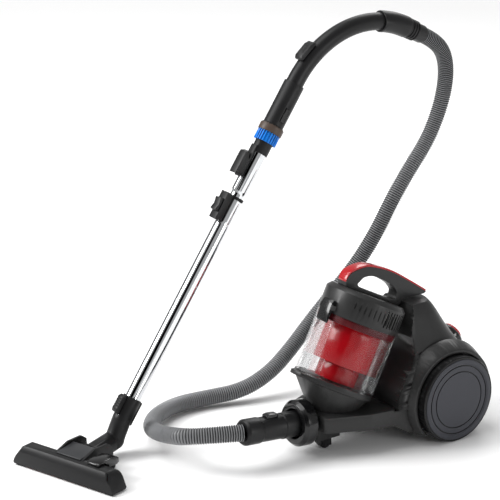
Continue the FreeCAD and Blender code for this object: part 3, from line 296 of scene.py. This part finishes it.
hose_line = smooth_route("hose_line", HOSE_ROUTE)
rings = even_steps(hose_line, RIB_PITCH / 4)
skin, quads = [], []
up = Vector((0, 0, 1))
for i, (place, heading) in enumerate(rings):
    sideways = heading.cross(up) if i == 0 else across - heading * across.dot(heading)
    across = sideways.normalized()
    above = across.cross(heading)
    radius = HOSE_RADIUS - RIB_DEPTH * (0, 0, 1, 1)[i % 4]
    for k in range(HOSE_SIDES):
        turn = 2 * math.pi * k / HOSE_SIDES
        skin.append(place + (across * math.cos(turn) + above * math.sin(turn)) * radius)
    if i:
        a, b = (i - 1) * HOSE_SIDES, i * HOSE_SIDES
        for k in range(HOSE_SIDES):
            n = (k + 1) % HOSE_SIDES
            quads.append((a + k, a + n, b + n, b + k))
quads.append(tuple(reversed(range(HOSE_SIDES))))
quads.append(tuple(len(skin) - HOSE_SIDES + k for k in range(HOSE_SIDES)))
hose = made_of("ribbed_hose", skin, quads)


PLASTIC_IOR = 1.47
PLASTIC_GLOSS = 0.32
COAT_ROUGHNESS = 0.06


def moulded(name, base, worn, roughness, grain, depth, coat=0.0):
    """Injection-moulded plastic: mould grain of a size in mm, faint tone and polish changes."""
    material = bpy.data.materials.new(name)
    material.use_nodes = True
    tree = material.node_tree
    shader = tree.nodes["Principled BSDF"]
    where = add(tree, "TexCoord")
    pores = add(
        tree,
        "TexNoise",
        {"Vector": where.outputs["Object"], "Scale": 1 / (grain * MM), "Detail": 2.0, "Roughness": 0.6},
    )
    relief = add(
        tree, "Bump", {"Height": pores.outputs["Fac"], "Strength": 0.6, "Distance": depth * MM}
    )
    patches = add(
        tree,
        "TexNoise",
        {"Vector": where.outputs["Object"], "Scale": 22.0, "Detail": 4.0, "Roughness": 0.65},
    )
    tone = mixed(tree, patches.outputs["Fac"], base, worn)
    polish = add(
        tree,
        "MapRange",
        {
            "Value": patches.outputs["Fac"],
            "From Min": 0.3,
            "From Max": 0.7,
            "To Min": roughness - 0.04,
            "To Max": roughness + 0.05,
        },
    )
    tree.links.new(tone, shader.inputs["Base Color"])
    tree.links.new(polish.outputs["Result"], shader.inputs["Roughness"])
    tree.links.new(relief.outputs["Normal"], shader.inputs["Normal"])
    shader.inputs["IOR"].default_value = PLASTIC_IOR
    shader.inputs["Specular IOR Level"].default_value = PLASTIC_GLOSS
    shader.inputs["Coat Weight"].default_value = coat
    shader.inputs["Coat Roughness"].default_value = COAT_ROUGHNESS
    return material


eva_crest = moulded("extruded_EVA_silver_grey", "#7c7d7f", "#88898b", 0.3, 1.2, 0.02)
# the rib valleys get a much darker grey than the crests: painted shade between the ribs
eva_valley_painted_shade = moulded("extruded_EVA_painted_shade_between_ribs", "#2f3031", "#363738", 0.5, 1.2, 0.02)
hose.data.materials.append(eva_crest)
hose.data.materials.append(eva_valley_painted_shade)
# faces in the rib valleys take the darker material, which paints the shade between the ribs
for i, face in enumerate(hose.data.polygons):
    face.material_index = int(i // HOSE_SIDES % 4 in (1, 2))
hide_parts("hose")
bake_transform(hose)


# --- Materials and ways of making ---------------------------------------------------------
# Most outer pieces are injection-moulded ABS or polypropylene, snapped or screwed together.
# Each colour has its own mould grain, in millimetres, and a faintly paler worn tone.
body_abs = moulded("satin_grain_ABS_dark_grey", "#252525", "#2a2a2a", 0.36, 0.5, 0.015)
black_pp = moulded("fine_grain_polypropylene_black", "#0f0f10", "#151516", 0.42, 0.5, 0.02)
gloss_abs = moulded("polished_ABS_black", "#0c0c0d", "#111112", 0.18, 2.0, 0.002, coat=0.3)
red_abs = moulded("polished_ABS_red", "#a30a14", "#b20f1a", 0.2, 2.0, 0.002, coat=0.4)
seal_red = moulded("silicone_seal_deep_red", "#4a0d12", "#561016", 0.4, 0.8, 0.01)
wheel_pp = moulded("matt_polypropylene_blue_grey", "#33343a", "#393a40", 0.4, 0.6, 0.015)
rubber = moulded("vulcanised_rubber_black", "#0b0b0c", "#101011", 0.42, 0.8, 0.03)
brown_pp = moulded("satin_polypropylene_warm_brown", "#463a33", "#50433b", 0.4, 0.6, 0.015)
panel_abs = moulded("satin_ABS_mid_grey", "#2b2c2e", "#333436", 0.34, 0.6, 0.01)
blue_nylon = moulded("drawn_nylon_bristle_blue", "#0878de", "#0f8aee", 0.4, 0.4, 0.01)
velour = moulded("woven_lint_pickup_red", "#7a1a1c", "#8d2224", 0.9, 0.9, 0.3)
foam = moulded("open_cell_filter_foam", "#b9b8b1", "#cfcec8", 0.95, 1.6, 0.6)
steel = moulded("turned_steel", "#8b8d90", "#9b9da0", 0.3, 0.8, 0.01)
steel.node_tree.nodes["Principled BSDF"].inputs["Metallic"].default_value = 1.0

body_of = {
    node: body for body, nodes in frame["record"]["behaviour"]["bodies"].items() for node in nodes
}


def settle(piece, node, smooth=32):
    """Shades a piece, and lets it stand for its machined node on the same body."""
    only(piece)
    bpy.ops.object.shade_smooth_by_angle(angle=math.radians(smooth))
    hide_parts(node)
    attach(piece, body_of[node])
    return piece


def round_edges(piece, edge, segments=2, above=35):
    """Rounds every edge sharper than an angle."""
    only(piece)
    bpy.ops.object.modifier_add(type="BEVEL")
    bevel = piece.modifiers[-1]
    bevel.width = edge * MM
    bevel.segments = segments
    bevel.limit_method = "ANGLE"
    bevel.angle_limit = math.radians(above)
    bpy.ops.object.modifier_apply(modifier=bevel.name)


def grooved(piece, boxes):
    """Sinks box-shaped grooves into a piece: each box is a place and its size in millimetres.

    The boxes stay clear of each other, because the cut fails where they overlap.
    """
    tools = []
    for place, size in boxes:
        deselect()
        bpy.ops.mesh.primitive_cube_add(size=1, location=(0, 0, 0))
        tool = bpy.context.object
        tool.data.transform(place @ Matrix.Diagonal((*(c * MM for c in size), 1)))
        tools.append(tool)
    deselect()
    for tool in tools:
        tool.select_set(True)
    bpy.context.view_layer.objects.active = tools[0]
    bpy.ops.object.join()
    tool = bpy.context.object
    only(piece)
    bpy.ops.object.modifier_add(type="BOOLEAN")
    sink = piece.modifiers[-1]
    sink.operation = "DIFFERENCE"
    sink.solver = "EXACT"
    sink.object = tool
    bpy.ops.object.modifier_apply(modifier=sink.name)
    bpy.data.objects.remove(tool)


WELD = 0.00001  # metres; points nearer than this are one point


def machined(node, name, material):
    """A loose copy of a machined node with welded faces."""
    piece = frame["nodes"][node].copy()
    piece.data = piece.data.copy()
    piece.parent = None
    piece.name = name
    for key in list(piece.keys()):
        del piece[key]
    bpy.context.scene.collection.objects.link(piece)
    piece.data.materials.clear()
    piece.data.materials.append(material)
    only(piece)
    bpy.ops.object.mode_set(mode="EDIT")
    bpy.ops.mesh.select_all(action="SELECT")
    bpy.ops.mesh.remove_doubles(threshold=WELD)
    bpy.ops.mesh.dissolve_limited(angle_limit=math.radians(0.6))
    bpy.ops.object.mode_set(mode="OBJECT")
    return piece


def finished(node, name, material, edge=0.8, grooves=()):
    """A copy of a machined node with rounded edges, grooves and its real finish."""
    piece = machined(node, name, material)
    if grooves:
        grooved(piece, grooves)
    if edge:
        round_edges(piece, edge)
    return settle(piece, node)


def lathe(name, profile, place, steps=96, closed=False):
    """A turned piece from (radius, height) points in millimetres about a frame's Z axis."""
    points, faces, starts = [], [], []
    for radius, height in profile:
        starts.append((len(points), radius > 0))
        for k in range(steps if radius > 0 else 1):
            turn = 2 * math.pi * k / steps
            rim = Vector((radius * math.cos(turn), radius * math.sin(turn), height))
            points.append(place @ (rim * MM))
    pairs = list(zip(starts, starts[1:])) + ([(starts[-1], starts[0])] if closed else [])
    for (a, wide_a), (b, wide_b) in pairs:
        for k in range(steps):
            n = (k + 1) % steps
            if wide_a and wide_b:
                faces.append((a + k, a + n, b + n, b + k))
            elif wide_a:
                faces.append((a + k, a + n, b))
            elif wide_b:
                faces.append((a, b + n, b + k))
    piece = made_of(name, points, faces)
    only(piece)
    bpy.ops.object.mode_set(mode="EDIT")
    bpy.ops.mesh.select_all(action="SELECT")
    bpy.ops.mesh.normals_make_consistent(inside=False)
    bpy.ops.object.mode_set(mode="OBJECT")
    return piece


def eased(points, closed=False, steps=6):
    """A smooth line through points (y, z)."""
    count = len(points)
    line = []
    for i in range(count if closed else count - 1):
        near = [i + k for k in (-1, 0, 1, 2)]
        p = [points[k % count] if closed else points[min(max(k, 0), count - 1)] for k in near]
        for step in range(steps):
            t = step / steps
            line.append(
                tuple(
                    0.5
                    * (
                        2 * b
                        + (c - a) * t
                        + (2 * a - 5 * b + 4 * c - d) * t * t
                        + (3 * b - a - 3 * c + d) * t**3
                    )
                    for a, b, c, d in zip(*p)
                )
            )
    return line if closed else line + [tuple(points[-1])]


def plate(name, outlines, half_width, place):
    """A plate from closed (y, z) outlines in millimetres, the inner ones being holes, X thick."""
    curve = bpy.data.curves.new(name, "CURVE")
    curve.dimensions = "2D"
    curve.fill_mode = "BOTH"
    curve.extrude = half_width
    for outline in outlines:
        spline = curve.splines.new("POLY")
        spline.points.add(len(outline) - 1)
        for knot, (y, z) in zip(spline.points, outline):
            knot.co = (y, z, 0, 1)
        spline.use_cyclic_u = True
    mesh = meshed(name, curve)
    across = Matrix(((0, 0, 1, 0), (1, 0, 0, 0), (0, 1, 0, 0), (0, 0, 0, 1)))
    mesh.transform(place @ Matrix.Scale(MM, 4) @ across)
    piece = placed(name, mesh)
    only(piece)
    bpy.ops.object.mode_set(mode="EDIT")
    bpy.ops.mesh.select_all(action="SELECT")
    bpy.ops.mesh.remove_doubles(threshold=WELD)
    bpy.ops.mesh.dissolve_limited(angle_limit=math.radians(0.5))
    bpy.ops.mesh.normals_make_consistent(inside=False)
    bpy.ops.object.mode_set(mode="OBJECT")
    return piece


# Where each group stands: its origin in millimetres and how it leans.
BIN_LEAN = 26.4
CANISTER = spot(80.8, 310.5, 0)
BIN = spot(80.8, 90.5, 126, -BIN_LEAN)
WAND = spot(-125.64, -306.938, 31, -34.1)
HEAD = spot(-108.5, -361.3, 0, 17.5, "Z")
BEND15 = spot(-125.64, 188.592, 749.160, -49.1)


# --- Carry handle -------------------------------------------------------------------------
# Moulded loop that stands on the lid and reaches back over the rear shell, screwed to both.
# Its finger hole is smooth all round, and a polished red strip is snapped along its top.
BIN_SLOPE = math.tan(math.radians(BIN_LEAN))
BIN_AHEAD = 220
BIN_FOOT = 126
LID_TOP = 198.1
HANDLE_TOP = [
    (-197, 350),
    (-190, 361),
    (-178, 367.5),
    (-156, 371),
    (-132, 368.5),
    (-82, 349),
    (-32, 318),
    (11, 289),
]
TRIM = 4  # thickness of the red strip


def lid_height(y):
    """Height of the lid's top at a place along the machine."""
    return BIN_FOOT - (y + BIN_AHEAD) * BIN_SLOPE + LID_TOP / math.cos(math.radians(BIN_LEAN))


ridge = eased(HANDLE_TOP)
handle_outline = [(-197, lid_height(-197))] + [(y, z - TRIM) for y, z in ridge]
handle_outline += [(6, 281.5), (-40, 281.5), (-52, 279), (-58, 273.5), (-66, lid_height(-66))]
finger_hole = [(-165, lid_height(-165) + 11), (-161, 341), (-148, 347), (-124, 343)]
finger_hole += [(-86, 321), (-70, 305), (-67, 295)]
finger_hole += [(-76, lid_height(-76) + 10), (-120, lid_height(-120) + 9)]
outlines = [handle_outline, eased(finger_hole, closed=True)]
handle = plate("carry_handle_moulding", outlines, 13, CANISTER)
handle.data.materials.append(body_abs)
round_edges(handle, 4.0, 4)
settle(handle, "carry_handle")
band = ridge + [(y, z - TRIM) for y, z in reversed(ridge)]
strip = plate("handle_red_strip", [band], 12, CANISTER)
strip.data.materials.append(red_abs)
round_edges(strip, 1.6, 3)
settle(strip, "handle_trim")


# --- Rear wheels --------------------------------------------------------------------------
# Flat polypropylene discs with two fine sunk rings, each pressed into a rubber tread.
# They turn on flanged stubs in the arches.
# fmt: off
WHEEL_PROFILE = [
    (0, 134.2), (6.1, 134.2), (6.1, 112), (14, 112),
    (14, 119), (80, 119), (80, 114), (85, 114),
    (85, 136.5), (84.5, 137.6), (83, 138), (77, 138),
    (75.8, 137.4), (75, 136.4), (73.4, 136.2), (73.2, 134.4),
    (71.4, 134.4), (71.2, 136.2), (60.6, 136.2), (60.4, 134.4),
    (58.6, 134.4), (58.4, 136.2), (30, 136.5), (0, 136.6),
]
# fmt: on
RING_DEPTHS = (133.9, 136)  # heights between which a face lies in a sunk ring
RING_REACH = (57, 74)
for side_name, sense in (("left", 1), ("right", -1)):
    hub = spot(80.8, 310.5, 90, 90 * sense, "Y")
    disc = lathe(f"wheel_disc_{side_name}", WHEEL_PROFILE, hub)
    disc.data.materials.append(wheel_pp)
    disc.data.materials.append(rubber)
    # faces inside the sunk rings take the black rubber material: painted shade in the grooves
    for face in disc.data.polygons:
        reach = (hub.inverted() @ face.center) / MM
        sunk = RING_DEPTHS[0] < reach.z < RING_DEPTHS[1]
        face.material_index = int(sunk and RING_REACH[0] < reach.xy.length < RING_REACH[1])
    settle(disc, f"wheel_{side_name}", 25)


# --- Brush sleeve -------------------------------------------------------------------------
# The sleeve slides down the grip tube; its flared foot is a warmer brown moulding.
BRUSH_FOOT = 697
BROWN_HEIGHT = 15.5
sleeve = machined("brush_sleeve", "brush_sleeve_finished", black_pp)
grooved(sleeve, [(WAND @ spot(21.6, 0, 776), (1.6, 8, 36))])
round_edges(sleeve, 0.7)
sleeve.data.materials.append(brown_pp)
for face in sleeve.data.polygons:
    face.material_index = int(((WAND.inverted() @ face.center) / MM).z < BRUSH_FOOT + BROWN_HEIGHT)
settle(sleeve, "brush_sleeve")


# --- Dusting brush ------------------------------------------------------------------------
# A ring of blue nylon tufts set into the flared brown foot of the sliding sleeve.
TUFTS = 24
TUFT_ROWS = (20.6, 23.0)
TUFT_LEVELS = ((BRUSH_FOOT - 0.2, 0.9), (BRUSH_FOOT - 12, 1.15), (BRUSH_FOOT - 21.5, 1.3))
bristle_points, bristle_faces = [], []
for row, radius in enumerate(TUFT_ROWS):
    for i in range(TUFTS):
        turn = 2 * math.pi * (i + 0.5 * row) / TUFTS
        out = Vector((math.cos(turn), math.sin(turn), 0))
        along = Vector((-math.sin(turn), math.cos(turn), 0))
        first = len(bristle_points)
        for height, spread in TUFT_LEVELS:
            for k in range(6):
                bend = math.pi * k / 3
                outward = out * (radius + spread * 0.8 * math.cos(bend))
                offset = outward + along * spread * 1.25 * math.sin(bend)
                bristle_points.append(WAND @ ((offset + Vector((0, 0, height))) * MM))
        for low in (first, first + 6):
            for k in range(6):
                n = (k + 1) % 6
                bristle_faces.append((low + k, low + 6 + k, low + 6 + n, low + n))
        bristle_faces.append(tuple(first + k for k in range(6)))
        bristle_faces.append(tuple(first + 12 + k for k in reversed(range(6))))
bristles = made_of("blue_nylon_tufts", bristle_points, bristle_faces)
bristles.data.materials.append(blue_nylon)
settle(bristles, "dusting_bristles", 50)


# --- Lid --------------------------------------------------------------------------------------
# Satin moulded ABS cap that closes the cup, with sunk vertical vents round one flank that get
# longer towards the back.
VENTS = 14
VENT_START = -52
VENT_PITCH = 7.2
vents = []
for i in range(VENTS):
    turn = math.radians(VENT_START + VENT_PITCH * i)
    tall = 12 + 1.5 * i
    place = BIN @ Matrix.Rotation(turn, 4, "Z") @ spot(84, 0, 177 - tall / 2)
    vents.append((place, (4.4, 3.0, tall)))
finished("bin_lid", "bin_lid_finished", body_abs, 0.6, vents)


# --- Floor head shell -----------------------------------------------------------------------
# One black polypropylene moulding, screwed to the base plate; its ends lean inwards towards the top.
END_LEAN = 17
LEAN_STARTS, LEAN_WIDTH = 85, 40
LEAN_FOOT, LEAN_HEIGHT = 8, 35
head_shell = machined("head_shell", "head_shell_finished", black_pp)
for vertex in head_shell.data.vertices:
    place = (HEAD.inverted() @ vertex.co) / MM
    outward = min(max((abs(place.x) - LEAN_STARTS) / LEAN_WIDTH, 0), 1)
    share = outward * min(max((place.z - LEAN_FOOT) / LEAN_HEIGHT, 0), 1)
    place.x -= math.copysign(END_LEAN * share, place.x)
    vertex.co = HEAD @ (place * MM)
round_edges(head_shell, 1.6, 3)
settle(head_shell, "head_shell")


# --- Vent slider, latches, telescope lock and buttons -------------------------------------
# Small black mouldings held by springs or snaps. The slider and the buttons have finger ribs;
# the wand latch and the telescope collar are cut slimmer here than their machined blanks.
finished(
    "vent_slider",
    "vent_slider_finished",
    black_pp,
    1.6,
    [(BEND15 @ spot(0, -29, -6 + 6 * i), (13, 4, 2.6)) for i in range(3)],
)
finished(
    "wand_latch",
    "wand_latch_finished",
    black_pp,
    1.4,
    [(WAND @ spot(0, -43.5, 617), (40, 11, 80)), (WAND @ spot(0, -30, 588), (40, 15.8, 18))],
)
finished("telescope_slider", "telescope_slider_finished", black_pp, 0.8)
finished(
    "telescope_collar",
    "telescope_collar_finished",
    black_pp,
    0.6,
    [(WAND @ spot(0, 8.5, 524), (60, 40, 42))],
)
finished(
    "neck_button",
    "neck_button_finished",
    black_pp,
    1.0,
    [(WAND @ spot(0, -29.5, 72 + 5 * i), (20, 2.4, 2)) for i in range(4)],
)
finished(
    "brush_button",
    "brush_button_finished",
    gloss_abs,
    0.5,
    [(WAND @ spot(23.6, 0, 729 + 4 * i), (1.6, 9, 1.8)) for i in range(6)],
)


# --- Pieces that keep their machined shape ------------------------------------------------
# Each has its own finish and the small edge radius, in millimetres, that its mould or tool leaves.
for node, material, slot, edge in (
    ("lower_chassis", body_abs, "body_grey", 1.0),
    ("front_deck", body_abs, "body_grey", 0.8),
    ("rear_shell", body_abs, "body_grey", 0),
    ("wheel_arch_left", body_abs, "body_grey", 0.8),
    ("wheel_arch_right", body_abs, "body_grey", 0.8),
    ("hose_socket", gloss_abs, "collar_gloss", 0.8),
    ("exhaust_grille", black_pp, "body_black", 0.4),
    ("cord_gland", black_pp, "body_black", 0.4),
    ("dial_pod", gloss_abs, "collar_gloss", 0.8),
    ("dial", red_abs, "trim_red", 0.5),
    ("rewind_button", gloss_abs, "collar_gloss", 0.5),
    ("tyre_left", rubber, "tyre_rubber", 0),
    ("tyre_right", rubber, "tyre_rubber", 0),
    ("caster_fork", black_pp, "body_black", 0.5),
    ("caster_wheel", black_pp, "body_black", 0.5),
    ("wheel_axles", steel, "metal_pin", 0.4),
    ("bin_flap", body_abs, "body_grey", 0.8),
    ("bin_latch", gloss_abs, "collar_gloss", 0.8),
    ("cyclone_cone", red_abs, "cyclone_red", 0.4),
    ("cyclone_shroud", red_abs, "cyclone_red", 0.4),
    ("bin_inlet_tube", red_abs, "cyclone_red", 0.4),
    ("lid_seal", seal_red, "seal_red", 0.3),
    ("bin_filter", foam, "filter_foam", 1.0),
    ("hose_cuff", black_pp, "cuff_black", 0.6),
    ("cuff_button", gloss_abs, "collar_gloss", 0.6),
    ("swivel_ring", black_pp, "cuff_black", 0.4),
    ("grip_tube", black_pp, "grip_black", 0.5),
    ("grip_end_cuff", black_pp, "cuff_black", 0.8),
    ("neck_pipe", black_pp, "grip_black", 0.8),
    ("elbow_pipe", black_pp, "grip_black", 0.8),
    ("head_base", black_pp, "body_black", 0.4),
    ("head_panel", panel_abs, "panel_grey", 0.8),
    ("head_pedal", gloss_abs, "collar_gloss", 1.5),
    ("head_wheels", rubber, "tyre_rubber", 0.4),
    ("brush_strips", velour, "fabric_strip", 0.2),
    ("motor_housing", steel, "motor_metal", 0.6),
    ("motor_rotor", steel, "metal_pin", 0.6),
    ("impeller", steel, "motor_metal", 0.4),
    ("pre_motor_filter", foam, "filter_foam", 0.6),
    ("exhaust_filter", foam, "filter_foam", 0.6),
    ("cord_reel", black_pp, "body_black", 0.6),
    ("inlet_duct", black_pp, "body_black", 0.4),
):
    finished(node, f"{node}_finished", material, edge)


# --- Wand tubes ---------------------------------------------------------------------------
# Thin drawn steel tubes, polished and chromed; the inner one slides in the outer one.
chrome = bpy.data.materials.new("chromed_steel_tube")
chrome.use_nodes = True
shader = chrome.node_tree.nodes["Principled BSDF"]
shader.inputs["Base Color"].default_value = colour("#dcdee0")
shader.inputs["Metallic"].default_value = 1.0
shader.inputs["Roughness"].default_value = 0.03
for node in ("lower_tube", "upper_tube"):
    finished(node, f"{node}_finished", chrome, 0)

# --- Dust cup -------------------------------------------------------------------------------
# Injection-moulded clear polycarbonate, tinted very lightly grey. It slides out with the lid.
clear = bpy.data.materials.new("clear_polycarbonate_light_smoke")
clear.use_nodes = True
shader = clear.node_tree.nodes["Principled BSDF"]
shader.inputs["Base Color"].default_value = colour("#d9d9db")
shader.inputs["Transmission Weight"].default_value = 1.0
shader.inputs["Roughness"].default_value = 0.0
shader.inputs["IOR"].default_value = 1.35
shader.inputs["Alpha"].default_value = 0.3
cup = lathe("dust_cup_moulding", [(83, 11.4), (83, 140), (80.5, 140), (80.5, 11.4)], BIN, closed=True)
cup.data.materials.append(clear)
settle(cup, "dust_cup")

low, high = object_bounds()
